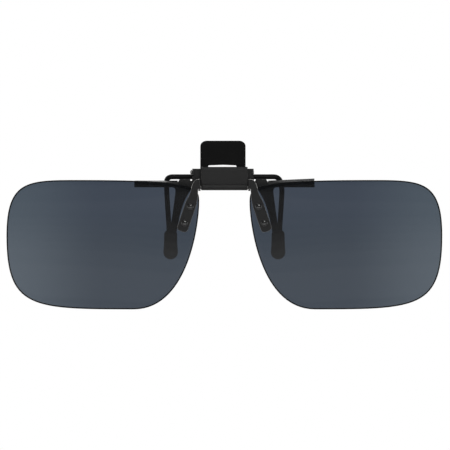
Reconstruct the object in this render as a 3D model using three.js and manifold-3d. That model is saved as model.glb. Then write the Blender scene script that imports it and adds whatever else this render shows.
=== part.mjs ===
// Flip-up clip-on sunglasses: a sprung clip with rubber-tipped jaws that grips the wearer's
// spectacles, and two smoke-grey lenses that flip up on an axle across the clip's housing.
// Millimetres. +Z is up, -Y is the front and +X is right, as seen from the front.
// The origin is where the clip grips: midway between the four rubber tips.
import * as THREE from 'three';
import { mergeVertices } from 'three/addons/utils/BufferGeometryUtils.js';
import Module from 'manifold-3d';

const wasm = await Module();
wasm.setup();

// ---- Driving dimensions ----

const seat = 0.05; // between parts that rest on each other
const runningGap = 0.05; // round a shaft that turns, or a rivet in its hole
const overrun = 1; // of cuts and blanks past what they cut
const clampShift = -0.45; // of the clamp's ears, pin and lever from the lenses' middle

const grip = {
  spread: 33.4, // between the left and right tips' centres
  gap: 0.3, // between a front and a rear tip when the clamp is closed
};

const tip = {
  width: 4.5, // at its widest, near the bottom
  waist: 4, // at the top
  above: 4.35, // its top over the grip point
  below: 4.8, // its round end under the grip point
  thickness: 2.5,
  edge: 0.5, // rounding
  wallGap: 0.15, // round the leg inside it
};

const pin = { // of the clamp
  radius: 0.5,
  height: 22.3, // over the grip point
  headRadius: 0.75,
  headLength: 0.6,
  stub: 0.1, // its plain right end past the ear
  earRadius: 0.9, // of the ears round it
  earRoot: 0.2, // of the ears, sunk in the sheet that they're bent from
};

const housing = {
  width: 14.4,
  top: 23.95,
  depth: 3.6, // from the frame's front to the flip axle
  sheet: 0.45,
  faceSetback: 0.1, // of the face's middle behind the flip axle
  cornerTrim: 0.9, // of the bent top edge
  cheekBottom: 19.2, // of the flanges at its two ends
  crimpWidth: 1.3,
  crimpInset: 1, // from the housing's end to the crimp tab
  crimpDrop: 0.9,
  rollFrom: 75, // degrees, of the roll round the axle, from the back over the top
  rollTo: 330,
};

const axle = { // of the flip
  radius: 0.4,
  height: 17.62,
  headRadius: 0.72,
  headLength: 0.4,
  flatDepth: 0.1,
  flatPast: 0.3, // the leaf's sides
};

const frame = {
  sheet: 0.8,
  top: 23.4,
  bottom: 17,
  earGap: 1.55, // from the housing's end to the ear's inner side, but for the clamp's shift
  blockBottom: 20.5, // of the wide top part that carries the ears
  barTop: 19.75,
  barBottom: 17.6,
  barReach: 20.8, // from the housing's end
  ledgeDepth: 2.4, // of the bar's upper flange, behind the upright one
  ledgeRise: 0.55,
  ledgeTwist: 0.65, // further rise of the right ledge's end
  legInner: 0.9, // from the leg's line to its inner edge at the foot
  legOuter: 1.1, // and to its outer edge
  legFlare: 3.3, // by which its inner edge spreads at the top
  fillet: 1.2, // beside the leg, under the bar and under the web
  notchDepth: 0.9, // relief beside the ears' bends
  notchWidth: 0.6,
  neckTop: 20.1, // between the notch and the bar
  legTopIn: 2.8, // leg's upper end nearer the middle than the tips
  legBow: 2.1, // the same for the point that its curve aims at
  legBowHeight: 11.5,
  legEndIn: 0.1,
  legEndBelow: 1.5, // under the grip point
  neckReach: 13.45, // of its upper end from the clamp's middle
  neckSlope: 0.6, // of its lower end past its upper end
  filletSpread: 0.15, // the leg's widening over its height below the bar
};

const lever = {
  width: 14.1,
  top: 32.15,
  sheet: 0.7,
  lean: 15, // degrees, of the thumb tab to the back
  bend: 23.9, // height of the tab's bend
  cornerAcross: 2.05,
  cornerDown: 1.5,
  earGap: 0.2, // inside the frame's ears
  shoulderTop: 23.1,
  waistBottom: 21.2,
  waist: 10, // width of the lower part, which holds the wire
  slotWidth: 8.85,
  slotShift: -0.2, // from the clamp's middle
  slotTop: 24.75,
  slotBottom: 22,
  slotCorner: 0.7,
  curlFrom: 20, // degrees, of the curl round the wire, past its back
  flatAbove: 0.5, // the wire's middle, where the sheet leaves the curl
};

const wire = { // of the rear jaw
  radius: 0.8,
  height: 20.9, // of its straight middle part
  bow: 3.2, // of its legs behind the rear tips' middle
  topOut: 0.85, // of its upper corners beyond the tips' centres, but for the clamp's shift
  bowOut: 1.3, // of its legs under the upper corners
  footOut: 0.6, // of the leg where it leaves the tip
  endOut: 0.2,
  endBelow: 2,
  footAbove: 2.1, // the tip's top
  bowFrom: 11.3,
  bowTo: 17.3,
  bendTrim: 1.9,
  curlGap: 0.1, // to the lever's curl
};

const coil = { // of the clamp spring
  wire: 0.2, // radius
  turns: 7,
  endGap: 0.5, // to the housing's crimp tabs
  gap: 0.1, // to the pin and to the sheet behind and before it
  leg: 0.9, // of its straight ends, up against the frame and the lever
};

const leaf = { // of the detent spring
  width: 5,
  thickness: 0.25,
  top: 22.9,
  upperBend: 20.8,
  lowerBend: 18.6,
  bendTrim: 0.8,
  flatGap: 0.15, // to the axle's flat
};

const lens = {
  width: 60,
  height: 40.2,
  thickness: 0.9,
  curveRadius: 300,
  housingGap: 0.6, // from the housing's end to the lens's nose edge
  topAboveAxle: 2.25,
  backAhead: 0.1, // of its back before the flip axle's middle
  // Its outline's extreme points at the top, outer side, bottom and nose side, as shares of its
  // width and height.
  extremes: [[0.65, 1], [1, 0.57], [0.34, 0], [0, 0.83]],
  // How far the outline keeps along its sides after each of them, and before the next.
  fullness: [[0.7, 0.98], [1, 0.8], [0.84, 0.2], [0.76, 0.97]],
};

const bracket = {
  sheet: 0.7,
  endGap: 0.2, // to the housing's end
  earRadius: 1.5,
  shoulderTop: 2.85, // over the flip axle
  shoulderOut: 2.8, // beyond its ear's inner side
  earBottom: 1.2, // under the flip axle
  stripOuter: 1.85, // riveted strip's edges from the rivets' middles
  stripInner: 1.65,
  stripPast: 2.7, // its end past the lower rivet
  stripCorner: 1.4,
  shoulderRound: 0.5, // how far the shoulder's curve aims under its top
  shoulderFull: 0.75, // and how far out, as a share
  hipDrop: 1.6, // under the flip axle, of the point that the outer edge aims at
  hipOut: 0.1,
  stripStart: 1.2, // its outer edge's start over the upper rivet
  neckAim: 2.6, // over the upper rivet, of the point that the inner edge aims at
};

const rivet = {
  shank: 0.5, // radii
  head: 1.05,
  upset: 0.75,
  headHeight: 0.5,
  upsetHeight: 0.35,
  upperOut: 2.8, // upper rivet, beyond the lens's nose edge
  upperDrop: 6.15, // upper rivet, under the flip axle
  pitch: 5.35,
  slant: 18.9, // degrees, of the pair from upright
};

const washer = { radius: 1.2, thickness: 0.4 };

// ---- Places that follow from them ----

const housingEnd = housing.width / 2;
const tipX = grip.spread / 2;
const rearTipY = (grip.gap + tip.thickness) / 2;
const frontTipY = -rearTipY;
const frameFront = frontTipY - frame.sheet / 2;
const frameBack = frontTipY + frame.sheet / 2;
const axleY = frameFront - housing.depth;
const faceY = axleY + housing.faceSetback;

const coilRadius = pin.radius + coil.gap + coil.wire; // to the middle of its wire
const pinY = frameBack + coil.gap + coilRadius + coil.wire;
const leverFront = pinY + coilRadius + coil.wire + coil.gap;
const leverY = leverFront + lever.sheet / 2;
const wireY = leverFront + lever.sheet + wire.curlGap + wire.radius;
const frameEar = housingEnd + frame.earGap;
const frameEarOuter = frameEar + frame.sheet;
const leverShoulder = frameEar - lever.earGap;
const crimpOuter = housingEnd - housing.crimpInset;
const crimpInner = crimpOuter - housing.crimpWidth;

const noseX = housingEnd + lens.housingGap;
const lensBack = axleY - lens.backAhead;
const lensFront = lensBack - lens.thickness;
const plateBack = lensFront - seat;
const plateFront = plateBack - bracket.sheet;
const bracketEar = housingEnd + bracket.endGap;
const bracketEarOuter = bracketEar + bracket.sheet;

const turn = THREE.MathUtils.degToRad;
const slant = turn(rivet.slant);
const rivetPlaces = [0, rivet.pitch].map((along) => new THREE.Vector2(
  noseX + rivet.upperOut + along * Math.sin(slant),
  axle.height - rivet.upperDrop - along * Math.cos(slant),
));

// ---- Solids ----

const point = (x, y) => new THREE.Vector2(x, y);

// A closed geometry as a solid that can be joined and cut.
function solid(geometry) {
  const bare = geometry.clone();
  bare.deleteAttribute('normal');
  bare.deleteAttribute('uv');
  const merged = mergeVertices(bare, 1e-5);
  const corners = [];
  for (let i = 0; i < merged.index.count; i += 3) {
    const [a, b, c] = [0, 1, 2].map((k) => merged.index.getX(i + k));
    if (a !== b && b !== c && c !== a) corners.push(a, b, c);
  }
  return new wasm.Manifold(new wasm.Mesh({
    numProp: 3,
    vertProperties: merged.attributes.position.array,
    triVerts: new Uint32Array(corners),
  }));
}

// A solid as a geometry.
function geometryOf(manifold) {
  const { numProp, numVert, vertProperties, triVerts } = manifold.getMesh();
  const places = new Float32Array(numVert * 3);
  for (let i = 0; i < numVert; i += 1) {
    places.set(vertProperties.subarray(i * numProp, i * numProp + 3), i * 3);
  }
  const flat = new THREE.BufferGeometry()
    .setAttribute('position', new THREE.BufferAttribute(places, 3))
    .setIndex(new THREE.BufferAttribute(triVerts, 1))
    .toNonIndexed();
  flat.computeVertexNormals();
  return flat;
}

const join = (...solids) => solids.reduce((whole, next) => whole.add(next));
const cut = (whole, ...solids) => solids.reduce((rest, next) => rest.subtract(next), whole);

const across = new THREE.Matrix4().makeBasis(
  new THREE.Vector3(0, 1, 0), new THREE.Vector3(0, 0, 1), new THREE.Vector3(1, 0, 0));
const fore = new THREE.Matrix4().makeBasis(
  new THREE.Vector3(1, 0, 0), new THREE.Vector3(0, 0, 1), new THREE.Vector3(0, -1, 0));

// A shape drawn in Y and Z, extruded from x0 to x1.
function alongX(shape, x0, x1, curveSegments = 8) {
  const made = new THREE.ExtrudeGeometry(shape, { depth: x1 - x0, bevelEnabled: false, curveSegments });
  return made.applyMatrix4(across).translate(x0, 0, 0);
}

// A shape drawn in X and Z, extruded from y0 back to y1.
function alongY(shape, y0, y1, curveSegments = 8) {
  const made = new THREE.ExtrudeGeometry(shape, { depth: y1 - y0, bevelEnabled: false, curveSegments });
  return made.applyMatrix4(fore).translate(0, y1, 0);
}

// The same geometry on the other side of the centre plane, still facing out.
function mirrored(geometry) {
  const other = (geometry.index ? geometry.toNonIndexed() : geometry.clone()).scale(-1, 1, 1);
  const { array } = other.attributes.position;
  for (let i = 0; i < array.length; i += 9) {
    for (let k = 0; k < 3; k += 1) {
      [array[i + 3 + k], array[i + 6 + k]] = [array[i + 6 + k], array[i + 3 + k]];
    }
  }
  other.computeVertexNormals();
  return other;
}

// Points on an arc, from one angle to another in degrees.
function arc(x, y, radius, from, to, steps) {
  return Array.from({ length: steps + 1 }, (_, i) => {
    const angle = turn(from + (to - from) * (i / steps));
    return point(x + radius * Math.cos(angle), y + radius * Math.sin(angle));
  });
}

// A path that runs straight between corners and rounds off each one between.
// A run between two rounded corners gives each of them half of it at most.
function rounded(corners, trim, steps = 3) {
  const path = [corners[0]];
  for (let i = 1; i < corners.length - 1; i += 1) {
    const corner = corners[i];
    const [from, to] = [i - 1, i + 1].map((j) => {
      const most = j % (corners.length - 1) ? 0.5 : 1;
      return corner.clone().lerp(corners[j], Math.min(most, trim / corner.distanceTo(corners[j])));
    });
    for (let s = 0; s <= steps; s += 1) {
      const t = s / steps;
      path.push(from.clone().lerp(corner, t).lerp(corner.clone().lerp(to, t), t));
    }
  }
  return [...path, corners.at(-1)];
}

// The outline of a strip of even thickness that follows a path.
function strip(path, thickness) {
  const sides = [[], []];
  path.forEach((here, i) => {
    const before = here.clone().sub(path[Math.max(i - 1, 0)]);
    const after = path[Math.min(i + 1, path.length - 1)].clone().sub(here);
    const into = (i ? before : after).normalize();
    const out = (i < path.length - 1 ? after : into).clone().normalize();
    const mitre = point(-into.y - out.y, into.x + out.x).normalize();
    const reach = thickness / 2 / (mitre.x * -into.y + mitre.y * into.x);
    sides[0].push(here.clone().addScaledVector(mitre, reach));
    sides[1].unshift(here.clone().addScaledVector(mitre, -reach));
  });
  return new THREE.Shape([...sides[0], ...sides[1]]);
}

// A line of points as a curve whose steps end on the points.
class PointLine extends THREE.Curve {
  constructor(points) {
    super();
    this.points = points;
  }

  getPoint(t, target = new THREE.Vector3()) {
    const place = t * (this.points.length - 1);
    const i = Math.min(Math.floor(place), this.points.length - 2);
    return target.copy(this.points[i]).lerp(this.points[i + 1], place - i);
  }

  getUtoTmapping(u) {
    return u;
  }
}

// A round wire or bore along a line of points.
function tube(points, radius, sides) {
  const section = new THREE.Shape(arc(0, 0, radius, 0, 360, sides).slice(0, -1));
  return new THREE.ExtrudeGeometry(section, {
    extrudePath: new PointLine(points), steps: points.length - 1, bevelEnabled: false,
  });
}

// A rod along X.
const rod = (radius, x0, x1, y, z, sides = 16) => alongX(
  new THREE.Shape(arc(y, z, radius, 0, 360, sides).slice(0, -1)), x0, x1);

// A turned piece on an axis along X, from pairs of place and radius.
function turned(profile, y, z, sides = 16) {
  const lathe = new THREE.LatheGeometry(profile.map(([x, radius]) => point(radius, x)), sides);
  return lathe.rotateZ(-Math.PI / 2).translate(0, y, z);
}

// ---- Lenses ----

function lensGeometry() {
  const bottom = axle.height + lens.topAboveAxle - lens.height;
  const extremes = lens.extremes.map(
    ([u, v]) => point(noseX + u * lens.width, bottom + v * lens.height));
  const outline = new THREE.Shape().moveTo(extremes[0].x, extremes[0].y);
  extremes.forEach((from, i) => {
    const to = extremes[(i + 1) % extremes.length];
    const [first, last] = lens.fullness[i];
    const alongTop = i % 2 === 0;
    const corner = alongTop ? point(to.x, from.y) : point(from.x, to.y);
    const leave = from.clone().lerp(corner, first);
    const arrive = to.clone().lerp(corner, last);
    outline.bezierCurveTo(leave.x, leave.y, arrive.x, arrive.y, to.x, to.y);
  });
  // The dish is struck about a flat seat round the rivets, where the washers lie.
  const centre = rivetPlaces[0].clone().lerp(rivetPlaces[1], 0.5);
  const flat = rivet.pitch / 2 + washer.radius + seat;
  const reach = lens.width + lens.height / 2;
  const rings = 9;
  const front = Array.from({ length: rings + 1 }, (_, i) => {
    const r = (reach - flat) * (i / rings);
    return point(flat + r, lens.curveRadius - Math.sqrt(lens.curveRadius ** 2 - r ** 2));
  });
  front.unshift(point(0, 0));
  const back = front.map(({ x, y }) => point(x, y + lens.thickness)).reverse();
  const dish = new THREE.LatheGeometry([...front, ...back], 32);
  dish.translate(centre.x, lensFront, centre.y);
  const holes = rivetPlaces.map(({ x, y }) => solid(rivetHole(x, y)));
  const blank = alongY(outline, lensFront - overrun, lensFront + reach, 14);
  return geometryOf(cut(solid(dish).intersect(solid(blank)), ...holes));
}

// A hole for a rivet's shank, through the bracket, the lens and the washer.
function rivetHole(x, z) {
  const radius = rivet.shank + runningGap;
  const length = 2 * (bracket.sheet + lens.thickness + washer.thickness);
  const hole = new THREE.CylinderGeometry(radius, radius, length, 16);
  return hole.translate(x, lensFront, z);
}

// ---- Lens brackets, rivets and flip axle ----

function bracketGeometry() {
  const [upper, lower] = rivetPlaces;
  const down = lower.clone().sub(upper).normalize();
  const outward = point(-down.y, down.x);
  // A point of the strip, from how far it is down from the upper rivet and out from the rivets' line.
  const at = (along, out) => upper.clone().addScaledVector(down, along).addScaledVector(outward, out);
  const end = rivet.pitch + bracket.stripPast;
  const { stripOuter, stripInner, stripCorner, shoulderOut, shoulderFull, hipOut, hipDrop } = bracket;
  const shoulderTop = axle.height + bracket.shoulderTop;
  const earBottom = axle.height - bracket.earBottom;
  const curve = (shape, aim, to) => shape.quadraticCurveTo(aim.x, aim.y, to.x, to.y);

  const plate = new THREE.Shape().moveTo(bracketEar, shoulderTop);
  curve(plate, point(bracketEar + shoulderFull * shoulderOut, shoulderTop - bracket.shoulderRound),
    point(bracketEar + shoulderOut, axle.height));
  curve(plate, point(bracketEar + shoulderOut + hipOut, axle.height - hipDrop),
    at(-bracket.stripStart, stripOuter));
  plate.lineTo(...at(end - stripCorner, stripOuter));
  curve(plate, at(end, stripOuter), at(end, stripOuter - stripCorner));
  plate.lineTo(...at(end, stripCorner - stripInner));
  curve(plate, at(end, -stripInner), at(end - stripCorner, -stripInner));
  plate.lineTo(...at(0, -stripInner));
  curve(plate, at(-bracket.neckAim, -stripInner), point(bracketEarOuter, earBottom));
  plate.lineTo(bracketEar, earBottom);

  const ear = new THREE.Shape([
    point(plateFront, shoulderTop),
    ...arc(axleY, axle.height, bracket.earRadius, 70, -90, 8),
    point(plateFront, earBottom),
  ]);
  return geometryOf(cut(
    join(solid(alongY(plate, plateFront, plateBack, 5)), solid(alongX(ear, bracketEar, bracketEarOuter))),
    solid(rod(axle.radius + runningGap, 0, 2 * bracketEar, axleY, axle.height)),
    ...rivetPlaces.map(({ x, y }) => solid(rivetHole(x, y))),
  ));
}

function rivetGeometry({ x, y: z }) {
  const washerBack = lensBack + seat + washer.thickness;
  const dome = (radius, y, height, from, to) => arc(0, 0, 1, from, to, 3)
    .map((p) => point(radius * p.x, y + height * p.y));
  const profile = [
    ...dome(rivet.head, plateFront - seat, rivet.headHeight, -90, 0),
    point(rivet.shank, plateFront - seat),
    point(rivet.shank, washerBack + seat),
    ...dome(rivet.upset, washerBack + seat, rivet.upsetHeight, 0, 90),
  ];
  profile[0].x = 0;
  profile.at(-1).x = 0;
  return new THREE.LatheGeometry(profile, 16).translate(x, 0, z);
}

function washerGeometry({ x, y: z }) {
  const [front, back] = [lensBack + seat, lensBack + seat + washer.thickness];
  const hole = rivet.shank + runningGap;
  const ring = [[hole, front], [washer.radius, front], [washer.radius, back], [hole, back], [hole, front]];
  return new THREE.LatheGeometry(ring.map(([r, y]) => point(r, y)), 16).translate(x, 0, z);
}

// Half of a rod across the clip, out to its domed head.
function headedEnd({ radius, headRadius, headLength }, headFrom) {
  const dome = [[0, 1], [0.6, 0.9], [1, 0.4], [1, 0]]; // shares of the head's length and radius
  const head = dome.map(([along, share]) => [headFrom + headLength * along, headRadius * share]);
  return [[headFrom, radius], ...head];
}

const toLeft = (profile) => profile.map(([x, r]) => [-x, r]).reverse();

function axleGeometry() {
  const half = leaf.width / 2 + axle.flatPast;
  const flat = axle.radius - axle.flatDepth;
  const outside = 2 * axle.radius;
  const backFlat = new THREE.Shape([
    point(axleY + flat, axle.height - outside), point(axleY + outside, axle.height - outside),
    point(axleY + outside, axle.height + outside), point(axleY + flat, axle.height + outside),
  ]);
  const topFlat = new THREE.Shape([
    point(axleY - outside, axle.height + flat), point(axleY + outside, axle.height + flat),
    point(axleY + outside, axle.height + outside), point(axleY - outside, axle.height + outside),
  ]);
  const right = headedEnd(axle, bracketEarOuter + seat);
  return geometryOf(cut(
    solid(turned([...toLeft(right), ...right], axleY, axle.height)),
    solid(alongX(backFlat, -half, half)), solid(alongX(topFlat, -half, half)),
  ));
}

// ---- Clip frame ----

const legLine = new THREE.QuadraticBezierCurve(
  point(tipX - frame.legTopIn, frame.barBottom + frame.sheet / 2),
  point(tipX - frame.legBow, frame.legBowHeight),
  point(tipX - frame.legEndIn, -frame.legEndBelow),
);

// A leg's outline, or that of the pocket round it, a gap wider. Its inner edge flares towards the top.
function legShape(gap = 0) {
  const steps = 10;
  const [inner, outer] = [[], []];
  for (let i = 0; i <= steps; i += 1) {
    const t = i / steps;
    const way = legLine.getTangent(t);
    const here = legLine.getPoint(t).addScaledVector(way, t < 1 ? 0 : gap);
    const outward = point(-way.y, way.x);
    const flare = frame.legFlare * (1 - t) ** 3;
    outer.push(here.clone().addScaledVector(outward, frame.legOuter + gap));
    inner.unshift(here.clone().addScaledVector(outward, -frame.legInner - flare - gap));
  }
  return new THREE.Shape([...outer, ...inner]);
}

// Half of the stamping's flat outline: the web, with the block that carries the clamp moved out by
// shift, and the neck out to the leg and the bar.
function webShape(shift) {
  const { notchDepth, notchWidth, neckTop, barTop, barBottom, bottom, fillet, blockBottom } = frame;
  const { neckReach, neckSlope, filletSpread } = frame;
  const legX = tipX - frame.legTopIn;
  const [inner, outer] = [legX - frame.legInner, legX + frame.legOuter];
  const ear = frameEarOuter + shift;
  const neck = neckReach + shift;
  const notchBottom = blockBottom - notchDepth;
  return new THREE.Shape()
    .moveTo(-overrun, frame.top)
    .lineTo(ear, frame.top)
    .lineTo(ear, blockBottom)
    .quadraticCurveTo(ear, notchBottom, ear + notchWidth / 2, notchBottom)
    .quadraticCurveTo(ear + notchWidth, notchBottom, ear + notchWidth, neckTop)
    .lineTo(neck, neckTop)
    .lineTo(neck + neckSlope, barTop - frame.ledgeRise)
    .lineTo(outer + fillet, barTop - frame.ledgeRise)
    .lineTo(outer + fillet, barBottom)
    .quadraticCurveTo(outer + filletSpread, barBottom, outer + 2 * filletSpread, barBottom - fillet)
    .lineTo(inner, barBottom - fillet)
    .lineTo(inner - frame.legFlare, bottom)
    .lineTo(-overrun, bottom);
}

// A top bar: an upright flange and a ledge behind its top, which rises a little more towards the bar's end.
function barGeometry(shift, twist) {
  const from = frameEarOuter + shift + frame.notchWidth;
  const to = housingEnd + frame.barReach;
  const { sheet, barTop, barBottom, ledgeRise, ledgeDepth } = frame;
  const path = rounded([
    point(frontTipY, barBottom),
    point(frontTipY, barTop - ledgeRise - sheet / 2),
    point(frontTipY + ledgeDepth, barTop - sheet / 2),
  ], sheet);
  const bar = alongX(strip(path, sheet), from, to);
  const place = bar.attributes.position;
  for (let i = 0; i < place.count; i += 1) {
    const along = (place.getX(i) - from) / (to - from);
    const behind = THREE.MathUtils.clamp((place.getY(i) - frontTipY) / ledgeDepth, 0, 1);
    place.setZ(i, place.getZ(i) + twist * along * behind);
  }
  return bar;
}

function frameGeometry() {
  const ear = new THREE.Shape([
    point(frameBack - pin.earRoot, pin.height - pin.earRadius),
    ...arc(pinY, pin.height, pin.earRadius, -90, 90, 8),
    point(frameBack - pin.earRoot, pin.height + pin.earRadius),
  ]);
  const half = (shift, twist) => [
    alongY(webShape(shift), frameFront, frameBack, 4),
    alongY(legShape(), frameFront, frameBack),
    alongX(ear, frameEar + shift, frameEarOuter + shift),
    barGeometry(shift, twist),
  ];
  const right = half(clampShift, frame.ledgeTwist).map(solid);
  const left = half(-clampShift, 0).map(mirrored).map(solid);
  return geometryOf(cut(
    join(...right, ...left),
    solid(rod(pin.radius + runningGap, -2 * frameEar, 2 * frameEar, pinY, pin.height)),
  ));
}

// ---- Housing cover and detent spring ----

function coverGeometry() {
  const { sheet, top, cornerTrim, crimpDrop, cheekBottom, rollFrom, rollTo } = housing;
  const middle = top - sheet / 2;
  const rollRadius = axle.radius + 2 * runningGap + sheet / 2;
  const crimpBack = frameBack + seat + sheet;
  const bend = (back) => rounded(
    [point(back, middle), point(faceY, middle), point(faceY, axle.height + rollRadius)], cornerTrim, 4);
  const cheek = new THREE.Shape([
    ...bend(frameFront - seat).slice(0, -1),
    point(faceY, cheekBottom), point(frameFront - seat, cheekBottom),
  ]);
  const crimp = new THREE.Shape([
    point(crimpBack - sheet, middle - crimpDrop), point(crimpBack, middle - crimpDrop),
    point(crimpBack, middle), point(crimpBack - sheet, middle),
  ]);
  const roll = strip(arc(axleY, axle.height, rollRadius, rollFrom, rollTo, 14), sheet);
  const ends = [alongX(cheek, housingEnd - sheet, housingEnd), alongX(crimp, crimpInner, crimpOuter)];
  return geometryOf(join(
    solid(alongX(strip(bend(crimpBack), sheet), -housingEnd, housingEnd)),
    solid(alongX(roll, -housingEnd, housingEnd)),
    ...ends.map(solid), ...ends.map(mirrored).map(solid),
  ));
}

function leafGeometry() {
  const { width, thickness, top, upperBend, lowerBend, bendTrim, flatGap } = leaf;
  const upperY = frameFront - seat - thickness / 2;
  const lowerY = axleY + axle.radius - axle.flatDepth + flatGap + thickness / 2;
  const path = rounded([
    point(upperY, top), point(upperY, upperBend),
    point(lowerY, lowerBend), point(lowerY, axle.height - seat),
  ], bendTrim);
  return alongX(strip(path, thickness), -width / 2, width / 2);
}

// ---- Clamp pin and its spring ----

function pinGeometry() {
  const end = frameEarOuter + pin.stub;
  const right = [[end, pin.radius], [end, 0]];
  const whole = turned([...toLeft(headedEnd(pin, frameEarOuter + seat)), ...right], pinY, pin.height);
  return whole.translate(clampShift, 0, 0);
}

function coilGeometry() {
  const stepsPerTurn = 12;
  const [from, to] = [Math.PI, 2 * Math.PI * coil.turns];
  const half = crimpInner - coil.endGap - coil.wire;
  const steps = Math.round((stepsPerTurn * (to - from)) / (2 * Math.PI));
  const line = Array.from({ length: steps + 1 }, (_, i) => {
    const angle = from + (to - from) * (i / steps);
    return new THREE.Vector3(
      half * ((2 * i) / steps - 1),
      pinY + coilRadius * Math.cos(angle),
      pin.height + coilRadius * Math.sin(angle),
    );
  });
  const up = new THREE.Vector3(0, 0, coil.leg);
  return tube([line[0].clone().add(up), ...line, line.at(-1).clone().add(up)], coil.wire, 6);
}

// ---- Rear jaw ----

function leverGeometry() {
  const { sheet, top, bend, lean, slotShift, slotTop, slotBottom, slotCorner } = lever;
  const curl = wire.radius + wire.curlGap + sheet / 2;
  const profile = [
    ...arc(wireY, wire.height, curl, lever.curlFrom, -180, 12),
    ...rounded([
      point(leverY, wire.height + lever.flatAbove), point(leverY, bend),
      point(leverY + (top + overrun - bend) * Math.tan(turn(lean)), top + overrun),
    ], sheet),
  ];
  const [tabHalf, waistHalf, slotHalf] = [lever.width, lever.waist, lever.slotWidth].map((w) => w / 2);
  const side = (way) => [
    point(way * waistHalf, wire.height - 2 * curl),
    point(way * waistHalf, lever.waistBottom),
    point(way * leverShoulder, lever.waistBottom),
    point(way * leverShoulder, lever.shoulderTop),
    point(way * tabHalf, lever.shoulderTop),
    point(way * tabHalf, top - lever.cornerDown),
    point(way * (tabHalf - lever.cornerAcross), top),
  ];
  const slotSide = (way) => [
    point(slotShift + way * slotHalf, slotBottom), point(slotShift + way * slotHalf, slotTop - slotCorner),
    point(slotShift + way * (slotHalf - slotCorner), slotTop),
  ];
  const face = new THREE.Shape([...side(1), ...side(-1).reverse()]);
  face.holes.push(new THREE.Path([...slotSide(1), ...slotSide(-1).reverse()]));
  const ear = new THREE.Shape([
    point(leverFront + pin.earRoot, pin.height + pin.earRadius),
    ...arc(pinY, pin.height, pin.earRadius, 90, 270, 8),
    point(leverFront + pin.earRoot, pin.height - pin.earRadius),
  ]);
  const behind = wireY + top - bend; // further back than any of it
  const blank = solid(alongX(strip(profile, sheet), -leverShoulder, leverShoulder));
  const sheetMetal = blank.intersect(solid(alongY(face, frameFront, behind)));
  const ears = alongX(ear, leverShoulder - sheet, leverShoulder);
  return geometryOf(cut(
    join(sheetMetal, solid(ears), solid(mirrored(ears))),
    solid(rod(pin.radius + runningGap, -frameEar, frameEar, pinY, pin.height)),
  )).translate(clampShift, 0, 0);
}

// The right half of the rear wire's path, from its end inside the tip.
const wireCorners = (shift) => [
  [tipX + wire.endOut, rearTipY, -wire.endBelow],
  [tipX + wire.footOut, rearTipY, tip.above + wire.footAbove],
  [tipX + (wire.footOut + wire.bowOut) / 2, rearTipY + wire.bow, wire.bowFrom],
  [tipX + wire.bowOut, rearTipY + wire.bow, wire.bowTo],
  [tipX + wire.topOut + shift, wireY, wire.height],
].map((corner) => new THREE.Vector3(...corner));

function wireGeometry() {
  const left = wireCorners(-clampShift).map(({ x, y, z }) => new THREE.Vector3(-x, y, z)).reverse();
  return tube(rounded([...wireCorners(clampShift), ...left], wire.bendTrim, 5), wire.radius, 10);
}

// ---- Rubber tips ----

function tipGeometry(middleY) {
  const { width, waist, above, below, thickness, edge } = tip;
  const [half, halfWaist] = [width / 2, waist / 2];
  const roundFrom = half - below;
  const outline = new THREE.Shape()
    .moveTo(tipX + halfWaist, above)
    .lineTo(tipX - halfWaist, above)
    .quadraticCurveTo(tipX - halfWaist, (above + roundFrom) / 2, tipX - half, roundFrom)
    .absarc(tipX, roundFrom, half, Math.PI, 2 * Math.PI, false)
    .quadraticCurveTo(tipX + halfWaist, (above + roundFrom) / 2, tipX + halfWaist, above);
  const body = new THREE.ExtrudeGeometry(outline, {
    depth: thickness - 2 * edge, curveSegments: 5,
    bevelThickness: edge, bevelSize: edge, bevelOffset: -edge, bevelSegments: 2,
  });
  return body.applyMatrix4(fore).translate(0, middleY + thickness / 2 - edge, 0);
}

function frontTipGeometry() {
  const { wallGap } = tip;
  return geometryOf(cut(
    solid(tipGeometry(frontTipY)),
    solid(alongY(legShape(wallGap), frameFront - wallGap, frameBack + wallGap)),
  ));
}

function rearTipGeometry() {
  const [end, foot] = wireCorners(clampShift);
  const past = end.clone().add(end.clone().sub(foot).setLength(tip.wallGap));
  const bore = tube([past, foot], wire.radius + tip.wallGap, 10);
  return geometryOf(cut(solid(tipGeometry(rearTipY)), solid(bore)));
}

// ---- Assembly ----

const finish = (color, roughness, metalness, extra = {}) => new THREE.MeshStandardMaterial(
  { color, roughness, metalness, ...extra });
const finishes = {
  lens: () => finish(0x444b55, 0.08, 0, { transparent: true, opacity: 0.8 }),
  blackSteel: () => finish(0x2b2b2b, 0.5, 0.7),
  blackTab: () => finish(0x151515, 0.6, 0.4),
  rubber: () => finish(0x2d2d30, 0.85, 0),
  springSteel: () => finish(0x6d6f70, 0.35, 0.9),
};

const sunglasses = new THREE.Group();

function add(name, geometry, material) {
  const mesh = new THREE.Mesh(geometry, finishes[material]());
  mesh.name = name;
  sunglasses.add(mesh);
}

// A piece of the right-hand side, and the same on the left.
function addPair(name, geometry, material) {
  add(`right_${name}`, geometry, material);
  add(`left_${name}`, mirrored(geometry), material);
}

add('clip_frame', frameGeometry(), 'blackSteel');
add('housing_cover', coverGeometry(), 'blackSteel');
add('detent_spring', leafGeometry(), 'springSteel');
add('clamp_pin', pinGeometry(), 'springSteel');
add('clamp_spring', coilGeometry(), 'springSteel');
addPair('front_tip', frontTipGeometry(), 'rubber');

add('thumb_lever', leverGeometry(), 'blackTab');
add('rear_wire', wireGeometry(), 'blackSteel');
addPair('rear_tip', rearTipGeometry(), 'rubber');

add('flip_axle', axleGeometry(), 'springSteel');
addPair('lens', lensGeometry(), 'lens');
addPair('lens_bracket', bracketGeometry(), 'blackSteel');
['upper', 'lower'].forEach((level, i) => {
  addPair(`${level}_rivet`, rivetGeometry(rivetPlaces[i]), 'blackSteel');
  addPair(`${level}_washer`, washerGeometry(rivetPlaces[i]), 'blackSteel');
});

export default sunglasses;
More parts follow.
